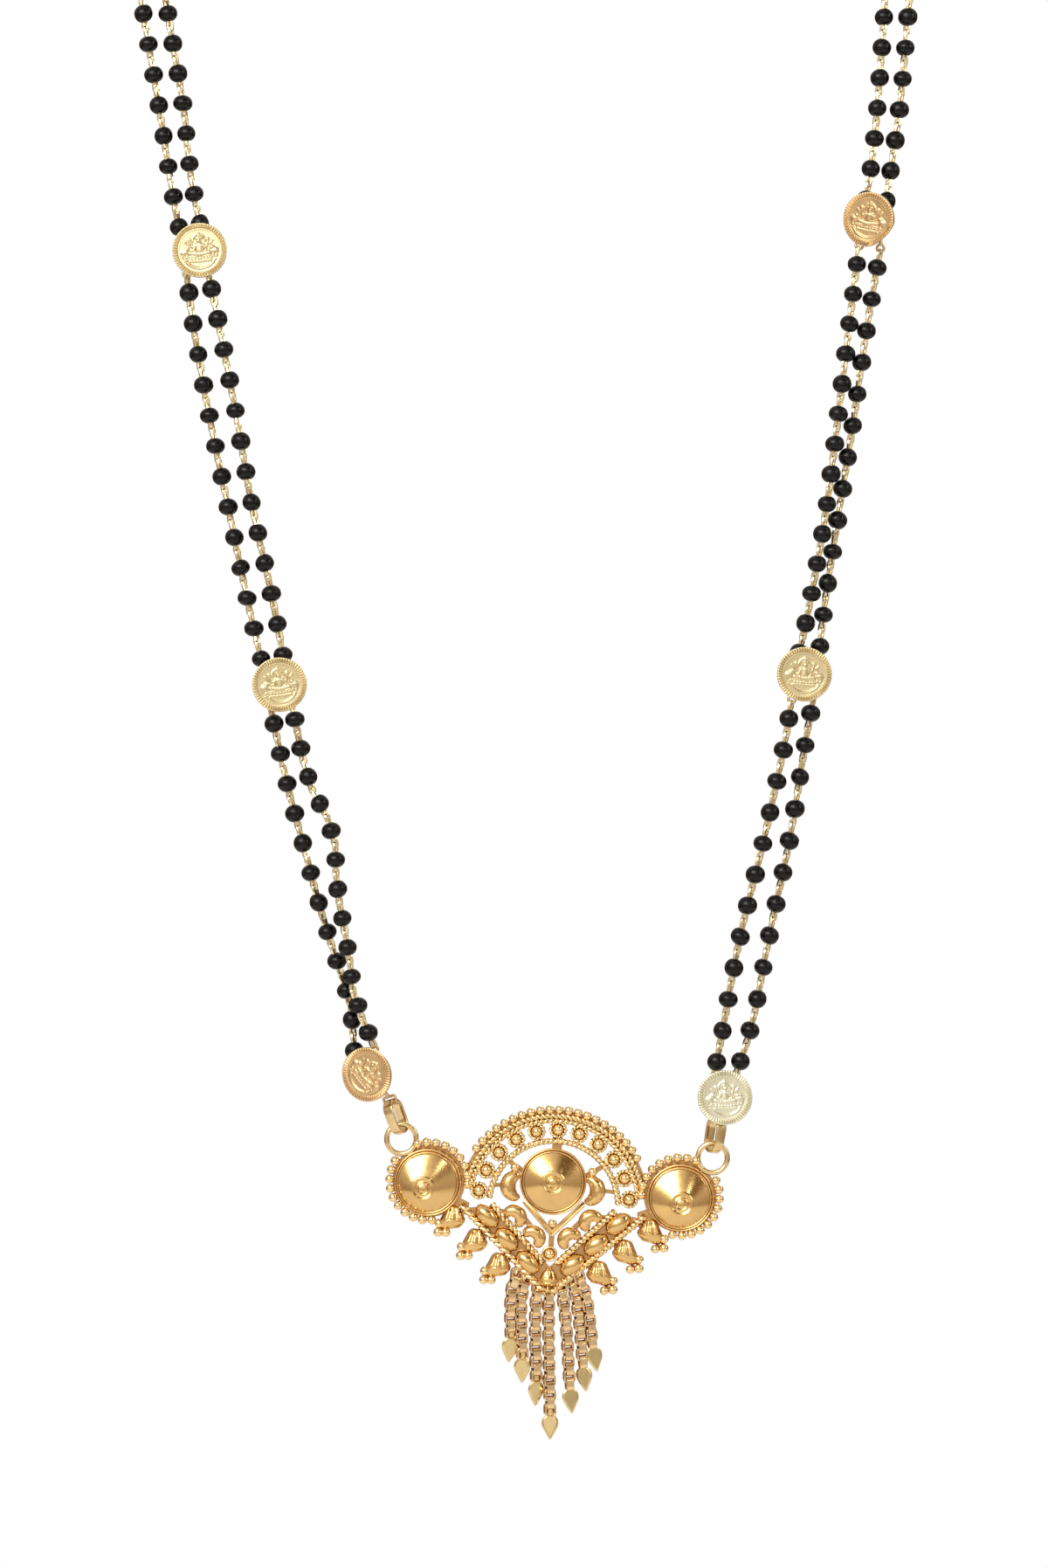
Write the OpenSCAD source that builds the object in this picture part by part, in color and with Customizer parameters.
// Mangalsutra: two strands of black beads on wire links, joined by stamped coins,
// with a granulated three-lobed pendant and a fringe of box chains. Millimetres.
// The origin is the top of the loop, at the nape; the front faces -Y.

/* [Beads and strands] */
// Diameter of a black bead
bead_d = 3.05; // [2.2:0.05:3.05]
// Length of a bead along its hole
bead_len = 2.4; // [1.6:0.1:2.4]
// Diameter of the hole through a bead
bead_hole = 1.3; // [1.25:0.05:1.4]
// Distance from one bead to the next along a strand
bead_pitch = 5.07; // [4.6:0.01:6]
// Share by which beads differ from each other in diameter
bead_spread = 0.035; // [0:0.005:0.035]
// Width of the wire links that the beads sit on
link_w = 0.95; // [0.8:0.05:1]

/* [Coins] */
// Diameter of a coin
coin_d = 8.9; // [8:0.1:10]
// Thickness of a coin's sheet
coin_t = 0.5; // [0.4:0.05:0.8]
// Width of the ribbed border of a coin
coin_border = 0.6; // [0.4:0.05:0.8]
// Number of ribs in the border
coin_ribs = 60; // [40:1:72]
// Height of the stamped figure above the coin's face
relief_h = 0.25; // [0.15:0.05:0.4]
// Distance between the two strands at a coin's yoke
yoke_w = 3.5; // [3.2:0.1:4.2]
// Height of the yoke behind a coin, from eyelet to eyelet
yoke_h = 5.8; // [5:0.1:6.5]
// Outer diameter of an eyelet
eye_d = 1.6; // [1.5:0.1:1.9]
// Wire of an eyelet
eye_wire = 0.45; // [0.4:0.05:0.5]
// Distance from the strands forward to the back of a coin
coin_stand = 1.75; // [1.7:0.05:2.2]

/* [Strap links] */
// Height of a strap link
strap_len = 6; // [5:0.1:7]
// Depth of a strap link from front to back
strap_depth = 3.8; // [3.5:0.1:4]
// Width of the strap
strap_w = 1.4; // [1.2:0.1:1.5]
// Thickness of the strap
strap_t = 0.45; // [0.35:0.05:0.5]
// Turn of the strap links about their length
strap_turn = 28; // [0:1:30]

/* [Pendant] */
// Radius of the row of grains over the arch
arch_r = 15.7; // [14:0.1:18]
// Half of the angle that the arch spans
arch_half = 82; // [76:1:84]
// Number of rosettes in the arch
rosettes = 11; // [9:1:12]
// Thickness of the pierced back plate
plate_t = 0.8; // [0.6:0.1:1.2]
// Diameter of a grain
grain_d = 1.3; // [1.1:0.05:1.4]
// Thickness of the twisted wires
rope_d = 1; // [0.8:0.1:1.2]
// Diameter of a side boss over its rim
boss_d = 10.6; // [9.5:0.1:12]
// Diameter of the centre dome over its rim
dome_d = 10.9; // [10:0.1:12]
// Height of the domes above the plate
dome_h = 2.6; // [1.5:0.1:3.5]
// Outer diameter of a jump ring
ring_d = 5.6; // [5.2:0.1:6]
// Wire of a jump ring
ring_wire = 0.8; // [0.7:0.05:0.85]
// Turn of the pendant in its own plane, right side down
pend_tilt = 3.5; // [0:0.5:6]

/* [Fringe] */
// Width of a box chain
chain_w = 1.2; // [1:0.05:1.25]
// Length of one link step along a box chain
chain_step = 1.21; // [1.1:0.01:1.4]
// Turn of the box chains about their length
chain_turn = 15; // [0:1:20]
// Width of a leaf tip
leaf_w = 2.5; // [2:0.1:2.6]
// Length of a leaf tip
leaf_len = 3.9; // [3:0.1:5]
// Thickness of a leaf tip
leaf_t = 0.5; // [0.4:0.05:0.8]

/* [Clasp] */
// Length of the clasp across the nape
clasp_len = 9; // [8:0.5:12]
// Thickness of the clasp
clasp_t = 2.4; // [2:0.1:3.5]

/* [Hidden] */
// Gap between pieces that touch on the real necklace
gap = 0.2;
// Gap between a strap link and a jump ring, whose curved wire comes closer at the strap's edges
ring_gap = 0.75;
// Sides of a fine curve, a swept tube and a grain, and steps along the arch
fine = 48;
tube_sides = 8;
grain_sides = 7;
arch_steps = 16;
// Height of a wire's middle over the plate's face
wire_lift = 0.07;
// Post that joins a coin to the yoke behind it
post_d = 1.3;
// Seed of the small differences between beads
seed = 7;

// Routes of the strands, from the coin or clasp above to the coin below, as [x, y, z] in whole
// and half millimetres. The ends are added from the eyelets. Columns: outer strand, inner strand.
left_routes = [
    [
        [[-20, 0, -1.5], [-38, 0, -9], [-52, 0, -22], [-61, 0, -37], [-64, 0, -52], [-62.5, 0, -65],
            [-60, 0.3, -80], [-58.5, 0.3, -90]],
        [[-19, 0, -5.5], [-35.5, 0, -12.5], [-48.5, 0, -24.5], [-57, 0, -38.5], [-60, 0, -52.5], [-58.5, 0, -65],
            [-56, -0.3, -80], [-55, -0.3, -90]]
    ],
    [
        [[-54.7, 0.4, -114], [-52, 0.6, -129.5], [-48.8, 0.6, -145], [-45.7, 0.5, -160]],
        [[-50.5, -0.4, -114], [-47.5, -0.6, -129.5], [-44.9, -0.6, -144.5], [-41.6, -0.5, -159.5]]
    ],
    [
        [[-39, 0.5, -191], [-36.3, 0.7, -201], [-33.8, 0.8, -210.5], [-31, 1.2, -219.5], [-28.9, 1.5, -226]],
        [[-35.6, -0.4, -189.7], [-31.6, -0.5, -198], [-31, -0.6, -207], [-29, -1.1, -218], [-28.1, -1.2, -225]]
    ]
];
right_routes = [
    [
        [[20, 0, -1.5], [38, 0, -9], [52, 0, -22], [60.5, 0, -37], [63, 0, -52], [62.3, 0, -65],
            [61, 0.3, -80], [59.5, 0.3, -90]],
        [[19, 0, -5.5], [35.5, 0, -12.5], [48.5, 0, -24.5], [56.5, 0, -38.5], [59, 0, -52], [58.4, 0, -65],
            [57.3, -0.3, -80], [56.3, -0.3, -89.5]]
    ],
    [
        [[55.6, 0.5, -116], [53.3, 0.7, -132], [50.9, 0.7, -147], [48.6, 0.5, -162]],
        [[52.8, -0.5, -114.5], [50.9, -0.7, -130], [49, -0.7, -145], [46.4, -0.5, -160]]
    ],
    [
        [[45.6, 0.4, -183.5], [43, 0.5, -199.5], [39.7, 0.5, -215], [37, 0.4, -229]],
        [[42, -0.4, -184.5], [38.6, -0.5, -200], [34.9, -0.5, -215], [32.3, -0.3, -229]]
    ]
];

// The coins from the top down. Columns: middle of the yoke x and z, turn of the yoke in the
// strands' plane, rise of its outer side over its inner side, shift of the coin on its yoke x and z,
// then the coin's turn about the vertical, its lean, its spin in its own plane, and extra distance
// forward.
left_coins = [
    [-54.2, -104.2, 9, 0, 0.9, 1, 0, 0, 5, 0],
    [-40.6, -174.7, 10, 0, 0.3, 0.7, 3, 2, 8, 0],
    [-26.1, -237.5, 8, -1.4, 0.2, 0, -26, 4, -48, 0.5]
];
right_coins = [
    [56.4, -100.1, -7, 0, -0.5, 1.9, -28, 8, -14, 0.5],
    [45.5, -173.6, -8, 0.7, -0.2, 1.3, 0, 2, -4, 0],
    [32.5, -241, 3, 0, -0.2, -0.3, 4, -3, 2, 0.5]
];
coin_x = 0;
coin_z = 1;
yoke_spin = 2;
yoke_rise = 3;
shift_x = 4;
shift_z = 5;
coin_turn = 6;
coin_lean = 7;
coin_spin = 8;
coin_out = 9;

// The pendant's place: the middle of its arch, and the plane of its jump rings
pend_x = 4.4;
pend_z = -259.1;
ring_level = plate_t + 0.1;

// Sizes that follow from the arch, the bosses and the dome
boss_x = arch_r + boss_d / 2 - 0.4;
boss_y = 0.175 * arch_r;
// The grains round a boss stand a little clear of its rim
grain_reach = (boss_d + grain_d) / 2 + 0.45;
ring_angle = 53.5;
ring_reach = boss_d / 2 + ring_d / 2 + 0.1;
ring_x = boss_x + ring_reach * cos(ring_angle);
ring_y = boss_y + ring_reach * sin(ring_angle);
ring_mid = (ring_d - ring_wire) / 2;
dome_x = -0.3;
dome_y = 0.25 * arch_r;
wire_out_r = arch_r - grain_d / 2 - rope_d * 0.75;
wire_in_r = wire_out_r - 0.239 * arch_r;
rosette_r = (wire_out_r + wire_in_r) / 2;
rosette_d = wire_out_r - wire_in_r - 0.45 * rope_d;
// Half of the angle that the row of grains spans, up to the grains round the bosses
row_half = 62;
// The V below the arch: half its width at the top, and its depth below the arch's middle
vee_w = 0.9 * arch_r;
vee_y = -0.06 * arch_r;
vee_tip = -0.89 * arch_r;
vee_band = 0.3 * arch_r;

// Stampings between the dome and the V, with places and sizes as shares of the arch's radius.
// Columns: x, y, turn, size.
kidneys = [[0.379, -0.118, 35, 0.21], [0.188, -0.325, 40, 0.21]];
// Places along an arm of the V, then length, width, height and turn of its domed ovals
oval_places = [0.16, 0.45, 0.74];
oval_long = 0.28 * arch_r;
oval_wide = 0.175 * arch_r;
oval_high = 0.09 * arch_r;
oval_turn = 42;
// The crescents at the dome's sides: middle x and y, radius of the bend, and width at five places
crescent_x = 0.503 * arch_r;
crescent_y = 0.1815 * arch_r;
crescent_reach = 0.166 * arch_r;
crescent_widths = [0.051, 0.127, 0.172, 0.127, 0.051];
// The heart-shaped stampings: places along an arm of the V, shift from its edge, and size
heart_places = [0, 0.275, 0.56];
heart_out = 0.115 * arch_r;
heart_drop = 0.172 * arch_r;
heart_size = 0.274 * arch_r;
// The thin plain V in the middle, from its heads to its foot
thin_vee = [0.325 * arch_r, 0.01 * arch_r, -0.318 * arch_r];

// Fringe columns: place along the foot of the V as a share of its width, height of the loop above
// the V's tip, lean from the vertical, and number of link steps.
fringe = [
    [-0.38, 2.1, -5, 8],
    [-0.275, 1.3, -2, 10],
    [-0.125, 0.1, -0.7, 12],
    [0.01, -0.4, 0.5, 16],
    [0.15, 0.3, 5, 13],
    [0.265, 1.5, 8, 11],
    [0.355, 2.3, 11, 9]
];
loop_share = 0;
loop_up = 1;
loop_lean = 2;
loop_steps = 3;
loop_d = 1.7;
loop_wire = 0.5;

gold = "#D9A85F";
pale_gold = "#E8D28C";
chain_gold = "#D8A05C";
black = "#222224";

// Curves through points, and even steps along them

function smooth(a, b, c, d, t) =
    0.5 * (2 * b + (c - a) * t + (2 * a - 5 * b + 4 * c - d) * t * t + (3 * b - a - 3 * c + d) * t * t * t);

function through(p, cuts = 8) =
    let (
        n = len(p),
        q = concat([2 * p[0] - p[1]], p, [2 * p[n - 1] - p[n - 2]])
    )
    concat(
        [for (i = [0:n - 2], k = [0:cuts - 1]) smooth(q[i], q[i + 1], q[i + 2], q[i + 3], k / cuts)],
        [p[n - 1]]
    );

function run_lengths(p) =
    [for (i = 0, s = 0; i < len(p); s = s + (i + 1 < len(p) ? norm(p[i + 1] - p[i]) : 0), i = i + 1) s];

function at_length(p, sums, s) =
    let (i = max([for (k = [0:len(p) - 2]) if (sums[k] <= s + 0.0001) k]))
    p[i] + (p[i + 1] - p[i]) * (s - sums[i]) / (sums[i + 1] - sums[i]);

function unit(v) = v / norm(v);

function turned(p, a) = [p[0] * cos(a) + p[1] * sin(a), -p[0] * sin(a) + p[1] * cos(a)];

// Eyelets. The wire of an eyelet that a strand hangs on lies at the yoke's outer corners.

function coins(side) = side == "left" ? left_coins : right_coins;

function yoke_corner(c, side, strand, up) =
    let (
        out = (side == "left" ? -1 : 1) * (strand == "outer" ? 1 : -1),
        rise = c[yoke_rise] * (strand == "outer" ? 1 : -1)
    )
    [out * yoke_w / 2, up * yoke_h / 2 + rise];

function eyelet(side, n, strand, up) =
    let (
        c = coins(side)[n - 1],
        q = turned(yoke_corner(c, side, strand, up), -c[yoke_spin])
    )
    [c[coin_x] + q[0], 0, c[coin_z] + q[1]];

function clasp_eye(side, strand) =
    [(side == "left" ? -1 : 1) * (clasp_len / 2 + eye_d - eye_wire), 0, strand == "outer" ? 0 : -yoke_w];

// The route of one run of a strand, from the eyelet above to the eyelet below

function route(side, strand, n) =
    let (
        table = side == "left" ? left_routes : right_routes,
        inner_points = table[n - 1][strand == "outer" ? 0 : 1],
        top = n == 1 ? clasp_eye(side, strand) : eyelet(side, n - 1, strand, -1)
    )
    concat([top], inner_points, [eyelet(side, n, strand, 1)]);

// Shares of the bead pitch by side and run, outer then inner strand: slack runs look closer
pitch_shares = [
    [[1, 0.98], [1, 1], [1, 0.95]],
    [[1, 1], [1, 1], [1.04, 1.02]]
];

// Even stations on a run: a bead sits in the middle of each straight stretch between two stations

function stations(side, strand, n) =
    let (
        p = through(route(side, strand, n)),
        sums = run_lengths(p),
        total = sums[len(p) - 1],
        share = pitch_shares[side == "left" ? 0 : 1][n - 1][strand == "outer" ? 0 : 1],
        count = round(total / (bead_pitch * share))
    )
    [for (i = [0:count]) at_length(p, sums, min(total * i / count, total - 0.001))];

// A tube with its rings on the stations. Each ring is drawn along the line that halves the bend.

module tube(p, r, sides) {
    n = len(p);
    heads = [for (i = [0:n - 1]) unit(p[min(i + 1, n - 1)] - p[max(i - 1, 0)])];
    rings = [
        for (i = [0:n - 1])
            let (
                side_way = unit(cross(heads[i], [0, 1, 0])),
                front_way = cross(side_way, heads[i])
            )
            for (k = [0:sides - 1]) p[i] + r * (cos(360 * k / sides) * side_way + sin(360 * k / sides) * front_way)
    ];
    walls = [
        for (i = [0:n - 2], k = [0:sides - 1])
            let (a = i * sides + k, b = i * sides + (k + 1) % sides)
            each [[a, b, b + sides], [a, b + sides, a + sides]]
    ];
    ends = [
        [for (k = [0:sides - 1]) sides - 1 - k],
        [for (k = [0:sides - 1]) (n - 1) * sides + k]
    ];
    polyhedron(points = rings, faces = concat(walls, ends), convexity = 10);
}

module along(a, b) {
    d = b - a;
    translate((a + b) / 2)
        rotate([0, acos(d[2] / norm(d)), atan2(d[1], d[0])])
            children();
}

module flat() {
    rotate([90, 0, 0]) children();
}

module ring(outer, wire) {
    rotate_extrude($fn = fine)
        translate([(outer - wire) / 2, 0])
            circle(d = wire, $fn = 24);
}

// Beads and the chain of links that they sit on

module bead(size) {
    difference() {
        intersection() {
            sphere(d = bead_d * size, $fn = fine);
            cylinder(d = 2 * bead_d, h = bead_len * size, center = true, $fn = fine);
        }
        cylinder(d = bead_hole, h = 2 * bead_len, center = true, $fn = fine);
    }
}

module bead_string(side, strand, n) {
    p = stations(side, strand, n);
    count = len(p) - 1;
    sizes = rands(1 - bead_spread, 1 + bead_spread, count, seed + 10 * n + (strand == "outer" ? 1 : 0));
    color(black)
        for (i = [0:count - 1])
            along(p[i], p[i + 1]) bead(sizes[i]);
}

module link_chain(side, strand, n) {
    p = stations(side, strand, n);
    last = len(p) - 1;
    clear_end = eye_wire / 2 + gap;
    first_end = p[0] + clear_end * unit(p[1] - p[0]);
    last_end = p[last] + clear_end * unit(p[last - 1] - p[last]);
    color(pale_gold)
        tube(concat([first_end], [for (i = [1:last - 1]) p[i]], [last_end]), link_w / 2, tube_sides);
}

// Coins: a stamped disc with a ribbed border, a seated figure on a lotus, and a yoke behind

module border_2d() {
    groove_r = coin_d / 2 * 0.97;
    rib_r = coin_d / 2 - coin_border;
    step = 360 / coin_ribs;
    comb = [
        for (i = [0:coin_ribs - 1], k = [0:3])
            let (r = k < 2 ? rib_r : groove_r, a = step * (i + [0, 0.5, 0.6, 0.9][k]))
            [r * cos(a), r * sin(a)]
    ];
    difference() {
        circle(d = coin_d, $fn = fine);
        polygon(comb);
    }
}

module raised(h) {
    translate([0, 0, coin_t / 2])
        linear_extrude(coin_t / 2 + h) children();
}

module arc_2d(r, w, from, to) {
    rounds = 6;
    steps = [for (i = [0:rounds]) from + (to - from) * i / rounds];
    polygon(concat(
        [for (a = steps) [(r + w / 2) * cos(a), (r + w / 2) * sin(a)]],
        [for (i = [0:rounds]) [(r - w / 2) * cos(steps[rounds - i]), (r - w / 2) * sin(steps[rounds - i])]]
    ));
}

module petal_2d(l, w) {
    polygon([[0, 0], [w / 2, 0.35 * l], [0.35 * w, 0.7 * l], [0, l], [-0.35 * w, 0.7 * l], [-w / 2, 0.35 * l]]);
}

// The figure is laid out in shares of the clear field inside the border
module figure() {
    u = coin_d / 2 - coin_border;
    raised(relief_h) polygon(u * [[-0.16, 0], [-0.2, 0.22], [-0.1, 0.3], [0.1, 0.3], [0.2, 0.22], [0.16, 0]]);
    raised(relief_h * 1.2) translate([0, 0.4 * u]) circle(r = 0.12 * u, $fn = fine);
    raised(relief_h) polygon(u * [[-0.12, 0.48], [0, 0.76], [0.12, 0.48]]);
    raised(relief_h * 0.9) polygon(u * [[-0.42, -0.1], [-0.3, 0.06], [0.3, 0.06], [0.42, -0.1], [0.3, -0.2], [-0.3, -0.2]]);
    for (s = [-1, 1]) {
        raised(relief_h * 0.8) polygon(u * [[s * 0.18, 0.24], [s * 0.36, 0.1], [s * 0.42, 0.16], [s * 0.24, 0.32]]);
        raised(relief_h * 0.7) translate([s * 0.62 * u, 0.05 * u]) arc_2d(0.3 * u, 0.1 * u, s > 0 ? -60 : 90, s > 0 ? 90 : 240);
        raised(relief_h * 0.7) translate([s * 0.6 * u, -0.1 * u]) circle(r = 0.1 * u, $fn = fine);
    }
    for (a = [-50, -25, 0, 25, 50])
        raised(relief_h * 0.7) translate([0.3 * u * sin(a), -0.56 * u]) rotate(-a) petal_2d(0.3 * u, 0.18 * u);
    raised(relief_h * 0.6) translate([0, -0.1 * u]) arc_2d(0.62 * u, 0.09 * u, 215, 325);
}

module coin_disc() {
    cylinder(d = coin_d, h = coin_t, $fn = 96);
    raised(relief_h * 0.6) border_2d();
    figure();
}

// An arm runs from the post behind the coin to each eyelet. The lowest coins have no strands below.
module yoke(side, n) {
    for (strand = ["outer", "inner"], up = n == 3 ? [1] : [-1, 1]) {
        corner = yoke_corner(coins(side)[n - 1], side, strand, up);
        eye = corner - [0, up * (eye_d - eye_wire) / 2];
        foot = eye - [0, up * (eye_d - eye_wire) / 2];
        translate([eye[0], eye[1], 0]) ring(eye_d, eye_wire);
        along([foot[0], foot[1], 0], [0, 0, 0])
            cube([eye_wire * 1.5, eye_wire * 1.5, norm(foot) + eye_wire], center = true);
    }
}

module coin(side, n) {
    c = coins(side)[n - 1];
    forward = coin_stand + c[coin_out];
    color(pale_gold)
        translate([c[coin_x], 0, c[coin_z]]) {
            rotate([0, -c[yoke_spin], 0]) flat() yoke(side, n);
            back = [c[shift_x], -forward, c[shift_z]];
            translate(back)
                rotate([c[coin_lean], 0, c[coin_turn]]) flat() rotate(c[coin_spin]) coin_disc();
            post_end = back - [0, coin_t * 0.3, 0];
            along([0, 0, 0], post_end)
                cylinder(d = post_d, h = norm(post_end), center = true, $fn = fine);
        }
    if (n == 3) color(pale_gold) stirrup(side);
}

// Strap links, and the stirrups of the lowest coins that hold them

function pend_point(p) =
    let (q = turned(p, pend_tilt))
    [pend_x + q[0], 0, pend_z + q[1]];

function side_sign(side) = side == "left" ? -1 : 1;

// Lean of a strap link to the right. It rides a share of that angle from its jump ring's top.
function strap_lean(side) = side == "left" ? -20 : 9;
ride_share = 0.5;

function upright(angle) = [sin(angle), 0, cos(angle)];

// A place on a strap link's own line, above the jump ring's wire
function strap_point(side, up) =
    pend_point([side_sign(side) * ring_x, ring_y])
    + ring_mid * upright(ride_share * strap_lean(side)) + up * upright(strap_lean(side));

// The middle of the bar that passes through the head of a strap link
bar_up = strap_len - 2 * strap_t - gap - ring_gap - (ring_wire + eye_wire) / 2;
stirrup_w = strap_w + 2 * gap + eye_wire;
stirrup_h = strap_t + 2 * gap + eye_wire;

// Draws things upright on a strap link's line at a height over the jump ring's wire
module on_strap(side, up) {
    translate(strap_point(side, up))
        rotate([0, strap_lean(side), 0])
            rotate([0, 0, side_sign(side) * strap_turn])
                children();
}

module strap_link(side) {
    half = (strap_len - strap_depth) / 2;
    color(gold)
        on_strap(side, strap_len / 2 - strap_t - ring_gap - ring_wire / 2)
            rotate([0, 90, 0])
                translate([0, 0, -strap_w / 2])
                    linear_extrude(strap_w)
                        difference() {
                            stadium(half, strap_depth / 2);
                            stadium(half, strap_depth / 2 - strap_t);
                        }
}

module stadium(half, r) {
    for (x = [-half, half])
        translate([x, 0]) circle(r = r, $fn = fine);
    square([2 * half, 2 * r], center = true);
}

// A square loop round the head of the strap link, and an arm that carries it to the post
module stirrup(side) {
    c = coins(side)[2];
    on_strap(side, bar_up) {
        for (z = [0, stirrup_h])
            translate([0, 0, z]) cube([stirrup_w + eye_wire, eye_wire, eye_wire], center = true);
        for (x = [-1, 1])
            translate([x * stirrup_w / 2, 0, stirrup_h / 2]) cube([eye_wire, eye_wire, stirrup_h], center = true);
    }
    top = strap_point(side, bar_up + stirrup_h);
    post = [c[coin_x], 0, c[coin_z]];
    along(top, post)
        cube([eye_wire * 1.6, eye_wire * 1.6, norm(top - post)], center = true);
}

// The pendant, drawn flat: x to the right, y up, z towards the viewer, with the plate from z = 0

// A wire lies a little higher than half sunk, so that its sides cut the plate's face cleanly
module rope(p, d = rope_d) {
    tube([for (q = p) [q[0], q[1], plate_t + wire_lift]], d / 2, 6);
}

function arc_points(r, from, to, count) =
    [for (i = [0:count]) let (a = from + (to - from) * i / count) [r * sin(a), r * cos(a)]];

// A grain of solder-set shot: its hidden half is a plain foot inside the plate
module grain(x, y, d = grain_d) {
    translate([x, y, plate_t / 2])
        rotate_extrude($fn = grain_sides)
            polygon([
                [0, 0], [d / 2, 0], [d / 2, plate_t / 2 + 0.1 * d], [0.36 * d, plate_t / 2 + 0.42 * d], [0, plate_t / 2 + 0.58 * d]
            ]);
}

module jump_ring(x, y) {
    translate([x, y, ring_level])
        rotate_extrude($fn = 16)
            translate([(ring_d - ring_wire) / 2, 0])
                circle(d = ring_wire, $fn = 6);
}

// A turned form, set through the plate. Its section lists [share of radius, height over the plate].
module turned_form(x, y, d, section, steps, droop = 0) {
    outline = [for (p = section) [p[0] * d / 2, plate_t + p[1]]];
    translate([x, y, 0])
        multmatrix([[1, 0, 0, 0], [0, 1, -droop, droop * plate_t], [0, 0, 1, 0], [0, 0, 0, 1]])
            rotate_extrude($fn = steps)
                polygon(concat([[0, 0], [outline[0][0], 0]], outline, [[0, outline[len(outline) - 1][1]]]));
}

// A ball in the middle of a ring of twisted wire
module rosette(x, y, d = rosette_d) {
    turned_form(x, y, d, [[1, 0.15], [0.8, 0.5], [0.5, 0.15], [0.4, 0.6], [0.15, 0.9]], 9);
}

// A bowl turned out of sheet, with a rolled rim and a ringed nipple, which may droop
module dome(x, y, d, droop) {
    turned_form(x, y, d, [
        [1, 0.1], [0.97, 0.5], [0.91, 0.3],
        for (t = [0.15, 0.4, 0.7]) [0.91 * (1 - t), dome_h * (1 - pow(1 - t, 1.6))],
        [0.27, dome_h * 0.98], [0.2, dome_h * 0.92], [0.14, dome_h * 1.1]
    ], 16, droop);
}

// A ring of grains round a boss, left open where the boss meets the arch and the jump ring
module boss_grains(s) {
    step = grain_d * 1.2 / grain_reach * 180 / PI;
    for (a = [-98:step:182])
        if (abs(a - ring_angle) > 12)
            grain(s * (boss_x + grain_reach * cos(a)), boss_y + grain_reach * sin(a));
}

module grain_oval(x, y, long, wide, high, turn) {
    translate([x, y, plate_t * 0.8])
        rotate(turn)
            scale([long / 2, wide / 2, high])
                sphere(r = 1, $fn = 8);
}

module kidney(x, y, turn, size) {
    translate([x, y, plate_t])
        rotate(turn)
            hull()
                for (t = [-1, 1])
                    translate([t * size * 0.16, 0, 0])
                        scale([1, 1, 1.1]) sphere(d = size * 0.78, $fn = 7);
}

module crescent(x, y, s) {
    reach = crescent_reach;
    points = [for (a = [-62, -31, 0, 31, 62]) [x - s * reach + s * reach * cos(a), y + reach * sin(a)]];
    widths = crescent_widths * arch_r;
    for (i = [0:3])
        hull()
            for (k = [i, i + 1])
                translate([points[k][0], points[k][1], plate_t])
                    scale([1, 1, 1.1]) sphere(d = widths[k], $fn = 6);
}

function heart_x(t, s) = s * (vee_w * (1 - t) + heart_out);
function heart_y(t) = vee_y + (vee_tip - vee_y) * t - heart_drop;

// A heart-shaped stamping that points up and in, with three grains at its outer foot
module heart(x, y, s) {
    translate([x, y, 0]) {
        hull() {
            translate([0, heart_size * 0.33, plate_t]) sphere(d = heart_size * 0.3, $fn = 5);
            for (t = [-1, 1])
                translate([t * heart_size * 0.24, -heart_size * 0.16, plate_t])
                    sphere(d = heart_size * 0.5, $fn = 6);
        }
        for (p = [[0.395, -0.256], [0.628, -0.349], [0.465, -0.535]])
            grain(s * p[0] * heart_size, p[1] * heart_size);
    }
}

module bar_2d(a, b, w) {
    d = b - a;
    translate((a + b) / 2)
        rotate(atan2(d[1], d[0]))
            square([norm(d) + w, w], center = true);
}

module band_2d(r, w, half) {
    outer = [for (p = arc_points(r + w / 2, -half, half, arch_steps)) p];
    inner = [for (p = arc_points(r - w / 2, half, -half, arch_steps)) p];
    polygon(concat(outer, inner));
}

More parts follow.
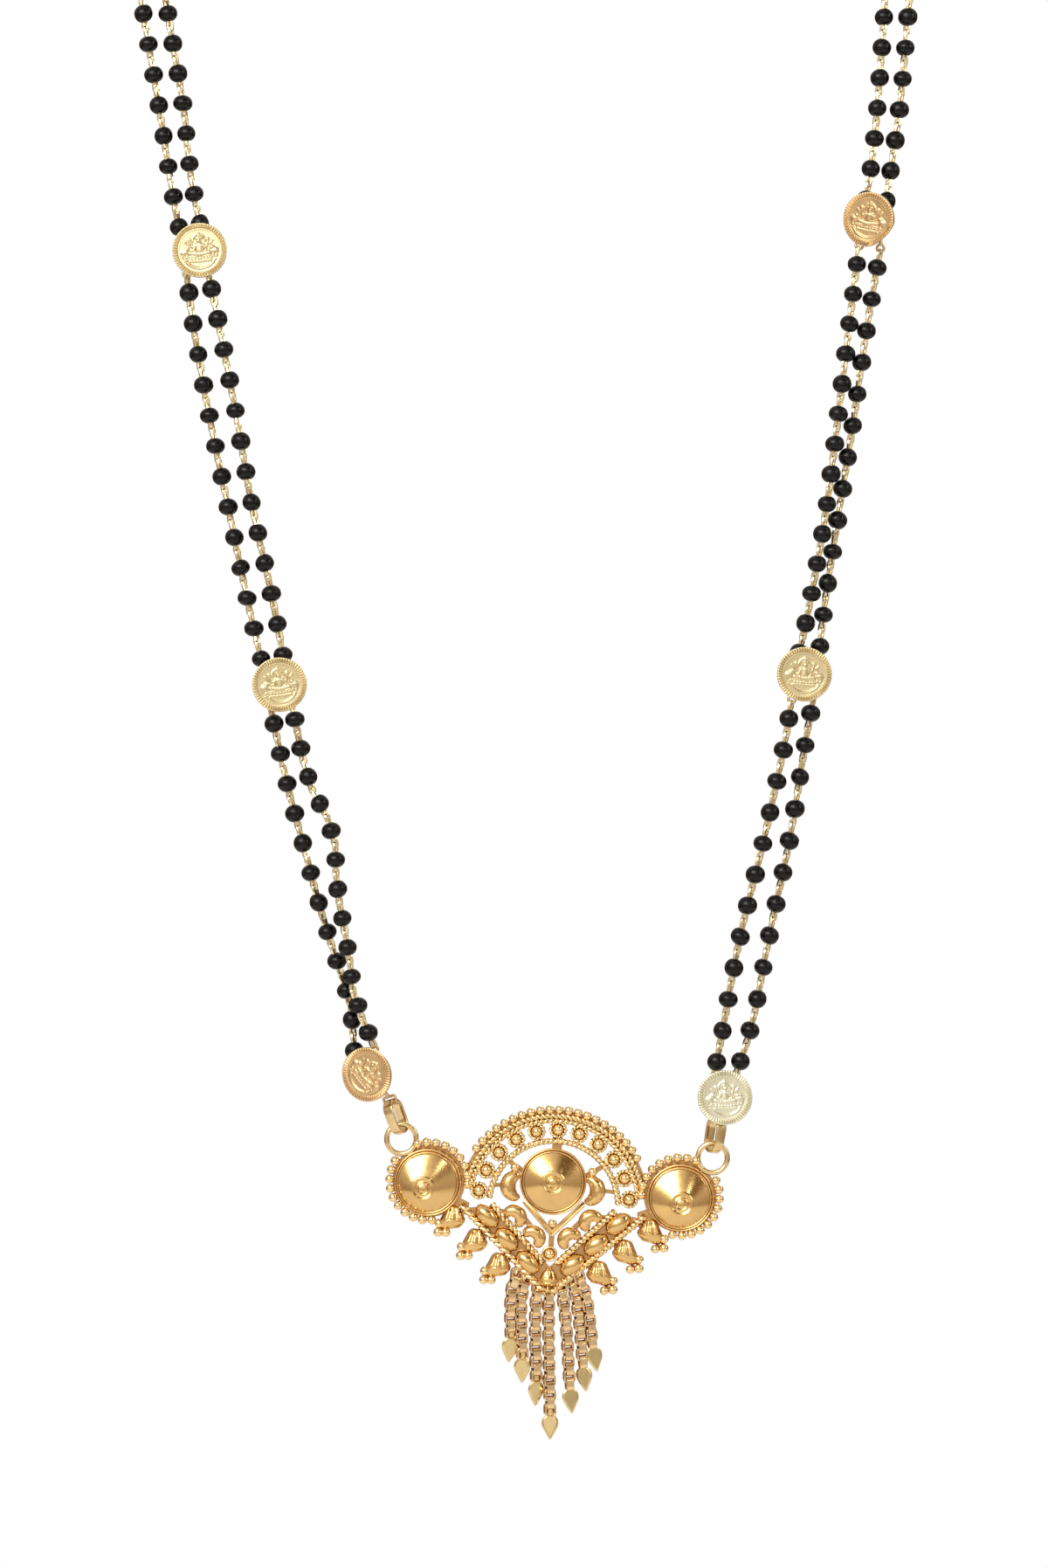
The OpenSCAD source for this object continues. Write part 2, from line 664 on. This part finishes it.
// Everything that the wires and stampings are soldered to, with the gaps between them left open
module plate_2d() {
    band_2d((arch_r + grain_d * 0.35 + wire_out_r - rope_d / 2) / 2, arch_r + grain_d * 0.35 - wire_out_r + rope_d / 2, arch_half);
    band_2d(wire_in_r, rope_d * 0.8, arch_half + 3.5);
    for (s = [-1, 1]) {
        translate([s * boss_x, boss_y]) circle(r = grain_reach + grain_d * 0.2, $fn = 24);
        difference() {
            polygon([
                [s * (vee_w + 1.8), vee_y + 0.35], [0, vee_tip - 0.6], [0, vee_tip + vee_band], [s * (vee_w - vee_band), vee_y + 0.5]
            ]);
            for (t = [0.3, 0.62])
                translate([s * (vee_w - vee_band / 2) * (1 - t), vee_y + (vee_tip - vee_y) * t + vee_band * 0.52])
                    circle(d = 0.8, $fn = 6);
        }
        bar_2d([s * (vee_w + 0.5), vee_y], [s * (boss_x - boss_d * 0.45), boss_y - boss_d * 0.3], 2.2);
        bar_2d([s * wire_in_r * 0.98, -0.102 * arch_r], [s * 0.204 * arch_r, 0.102 * arch_r], 1.4);
        bar_2d([s * 0.459 * arch_r, 0.439 * arch_r], [s * 0.255 * arch_r, 0.344 * arch_r], 2.2);
        bar_2d([s * 0.369 * arch_r, -0.127 * arch_r], [s * 0.185 * arch_r, -0.325 * arch_r], 2.1);
        bar_2d([s * 0.376 * arch_r, -0.117 * arch_r], [s * (wire_in_r - 0.051 * arch_r), -0.07 * arch_r], 1.25);
        bar_2d([s * (thin_vee[0] + 0.1), thin_vee[1]], [0, thin_vee[2] - 0.1], 0.8);
        translate([dome_x + s * 0.465 * arch_r, crescent_y]) circle(d = 0.191 * arch_r, $fn = 12);
        bar_2d([s * 0.675 * arch_r, 0.172 * arch_r], [s * 0.414 * arch_r, crescent_y], 1.2);
    }
    for (s = [-1, 1], t = heart_places)
        translate([heart_x(t, s), heart_y(t)])
            polygon(heart_size * [
                [-s * 0.093, 0.674], [s * 0.442, 0.047], [s * 0.744, -0.302],
                [s * 0.512, -0.651], [-s * 0.372, -0.326], [-s * 0.674, 0.14]
            ]);
    bar_2d([0, -0.153 * arch_r], [0, vee_tip + 0.191 * arch_r], 1.5);
    bar_2d([0, dome_y + 4.5], [0, wire_in_r], 2.4);
}

function rosette_angles() = [for (i = [0:rosettes - 1]) (i - (rosettes - 1) / 2) * 2 * arch_half / (rosettes - 1)];

module hanging_loop(f) {
    top = loop_top(f);
    translate([top[0], top[1], plate_t / 2])
        rotate([0, 60, 0])
            rotate_extrude($fn = 8)
                translate([(loop_d - loop_wire) / 2, 0])
                    circle(d = loop_wire, $fn = 4);
    bar = vee_foot(top[0]);
    along([top[0], top[1] + loop_d / 2 - loop_wire, plate_t / 2], [top[0], bar, plate_t / 2])
        cube([0.7, 0.7, abs(bar - top[1])], center = true);
}

function vee_foot(x) = vee_tip + abs(x) * (vee_y - vee_tip) / vee_w + 0.3;

function loop_top(f) = [f[loop_share] * vee_w, vee_tip + f[loop_up] + 0.7];

module pendant_flat() {
    linear_extrude(plate_t) plate_2d();
    rope(arc_points(wire_out_r, -arch_half, arch_half, arch_steps));
    rope(arc_points(wire_in_r, -arch_half - 4, arch_half + 4, arch_steps), rope_d * 0.9);
    grain_step = grain_d * 1.2 / arch_r * 180 / PI;
    grain_side = floor(row_half / grain_step);
    for (i = [-grain_side:grain_side])
        grain(arch_r * sin(i * grain_step), arch_r * cos(i * grain_step));
    for (a = rosette_angles())
        rosette(rosette_r * sin(a), rosette_r * cos(a));
    dome(dome_x, dome_y, dome_d, 0);
    for (s = [-1, 1]) {
        dome(s * boss_x, boss_y, boss_d, 0.3);
        boss_grains(s);
        jump_ring(s * ring_x, ring_y);
        rope([[s * vee_w, vee_y], [s * 0.5, vee_tip + 0.3]]);
        rope([[s * (vee_w - vee_band + 0.6), vee_y + 0.5], [s * 0.7, vee_tip + vee_band - 0.6]]);
        for (t = oval_places)
            grain_oval(
                s * ((vee_w - 0.5 * vee_band) * (1 - t) + 0.2), vee_y + (vee_tip - vee_y) * t + vee_band * 0.38,
                oval_long, oval_wide, oval_high, s * oval_turn
            );
        for (t = heart_places)
            heart(heart_x(t, s), heart_y(t), s);
        for (k = kidneys)
            kidney(s * k[0] * arch_r, k[1] * arch_r, s * k[2], k[3] * arch_r);
        crescent(dome_x + s * crescent_x, crescent_y, s);
        grain(dome_x + s * 0.401 * arch_r, 0.363 * arch_r, grain_d * 1.1);
        rope([[s * thin_vee[0], thin_vee[1]], [0, thin_vee[2]]], 0.7);
    }
    grain(0, -0.197 * arch_r, grain_d * 1.1);
    rosette(-0.2, -0.503 * arch_r, 0.159 * arch_r);
    grain_oval(0.1, vee_tip + 0.146 * arch_r, 0.204 * arch_r, 0.172 * arch_r, oval_high, 90);
    for (f = fringe)
        hanging_loop(f);
}

module pendant() {
    color(gold)
        translate([pend_x, ring_level, pend_z])
            rotate([0, pend_tilt, 0]) flat() pendant_flat();
}

// Fringe: a box chain under each loop, and a leaf under each chain

module on_fringe(i) {
    f = fringe[i - 1];
    t = loop_top(f);
    q = pend_point([t[0], t[1] - loop_d / 2 - gap]);
    translate([q[0], ring_level - plate_t / 2, q[2]])
        rotate([0, -f[loop_lean], 0])
            children();
}

module fringe_chain(i) {
    length = fringe[i - 1][loop_steps] * chain_step;
    color(chain_gold)
        on_fringe(i)
            rotate([0, 0, chain_turn])
                translate([-chain_w / 2, -chain_w / 2, -length])
                    cube([chain_w, chain_w, length]);
}

// Leaf outline: share of the length from the top, and share of half the width there
leaf_shape = [
    [0, 0.3], [0.05, 0.6], [0.13, 0.85], [0.25, 0.98], [0.36, 1], [0.5, 0.9], [0.65, 0.68], [0.8, 0.4], [0.92, 0.16], [1, 0.03]
];

module fringe_leaf(i) {
    length = fringe[i - 1][loop_steps] * chain_step;
    last = len(leaf_shape) - 1;
    side = [for (s = leaf_shape) [s[1] * leaf_w / 2, -s[0] * leaf_len]];
    color(pale_gold)
        on_fringe(i)
            translate([0, leaf_t / 2, -length - gap])
                flat()
                    linear_extrude(leaf_t)
                        polygon(concat(side, [for (k = [0:last]) [-side[last - k][0], side[last - k][1]]]));
}

// Clasp: one plain closed barrel plate with an eyelet for each of the four strand ends

module clasp() {
    height = yoke_w + eye_d;
    color(gold) {
        translate([-clasp_len / 2, -clasp_t / 2, -yoke_w / 2 - height / 2])
            cube([clasp_len, clasp_t, height]);
        for (s = [-1, 1], z = [0, -yoke_w])
            translate([s * (clasp_len / 2 + eye_d / 2 - eye_wire / 2), 0, z]) flat() ring(eye_d, eye_wire);
    }
}

pendant();
for (i = [1:7]) fringe_chain(i);
for (i = [1:7]) fringe_leaf(i);
for (side = ["left", "right"]) {
    strap_link(side);
    for (n = [1:3]) {
        coin(side, n);
        for (strand = ["outer", "inner"]) {
            bead_string(side, strand, n);
            link_chain(side, strand, n);
        }
    }
}
clasp();
